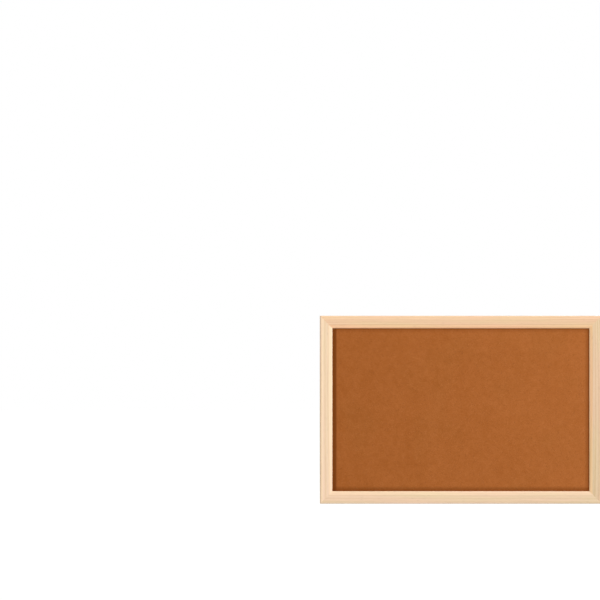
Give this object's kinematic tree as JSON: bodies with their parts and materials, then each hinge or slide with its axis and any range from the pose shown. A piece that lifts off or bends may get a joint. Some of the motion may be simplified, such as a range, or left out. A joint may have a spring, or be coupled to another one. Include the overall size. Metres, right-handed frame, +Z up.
{
  "type": "cork board",
  "caption": "Rectangular cork pin board in a mitred pale pine frame, with a hardboard back and swinging ring hangers behind the side rails.",
  "frame": {"origin": "midway between the two hanger rings, in the plane of the frame's back, at the height where the wall hooks bear in the rings (40 mm below the frame's top edge)", "axes": "+Z up as the board hangs, +X to the right seen from the front, +Y into the wall; the cork faces -Y"},
  "size_m": [0.45, 0.021, 0.3],
  "materials": {
    "pine": "satin",
    "cork": "matte",
    "softboard": "matte",
    "hardboard": "matte",
    "steel": "satin",
    "zinc": "satin"
  },
  "bodies": {
    "frame": {"rail_top": "pine", "rail_right": "pine", "rail_bottom": "pine", "rail_left": "pine", "cork_sheet": "cork", "core_board": "softboard", "back_panel": "hardboard", "v_nail_top_left_outer": "steel", "v_nail_top_left_inner": "steel", "v_nail_top_right_outer": "steel", "v_nail_top_right_inner": "steel", "v_nail_bottom_right_outer": "steel", "v_nail_bottom_right_inner": "steel", "v_nail_bottom_left_outer": "steel", "v_nail_bottom_left_inner": "steel", "framer_point_top_1": "steel", "framer_point_top_2": "steel", "framer_point_top_3": "steel", "framer_point_right_1": "steel", "framer_point_right_2": "steel", "framer_point_bottom_1": "steel", "framer_point_bottom_2": "steel", "framer_point_bottom_3": "steel", "framer_point_left_1": "steel", "framer_point_left_2": "steel", "hanger_strap_left": "zinc", "hanger_strap_right": "zinc", "hanger_screw_left": "zinc", "hanger_screw_right": "zinc"},
    "ring_left": {"hanger_ring_left": "zinc"},
    "ring_right": {"hanger_ring_right": "zinc"}
  },
  "joints": [
    {"name": "hanger_ring_left_swing", "type": "hinge", "parent": "frame", "child": "ring_left", "pos_m": [-0.21775, 0.002, -0.00838], "axis": [-1, 0, 0], "range_deg": [0, 168]},
    {"name": "hanger_ring_right_swing", "type": "hinge", "parent": "frame", "child": "ring_right", "pos_m": [0.21775, 0.002, -0.00838], "axis": [-1, 0, 0], "range_deg": [0, 168]}
  ]
}
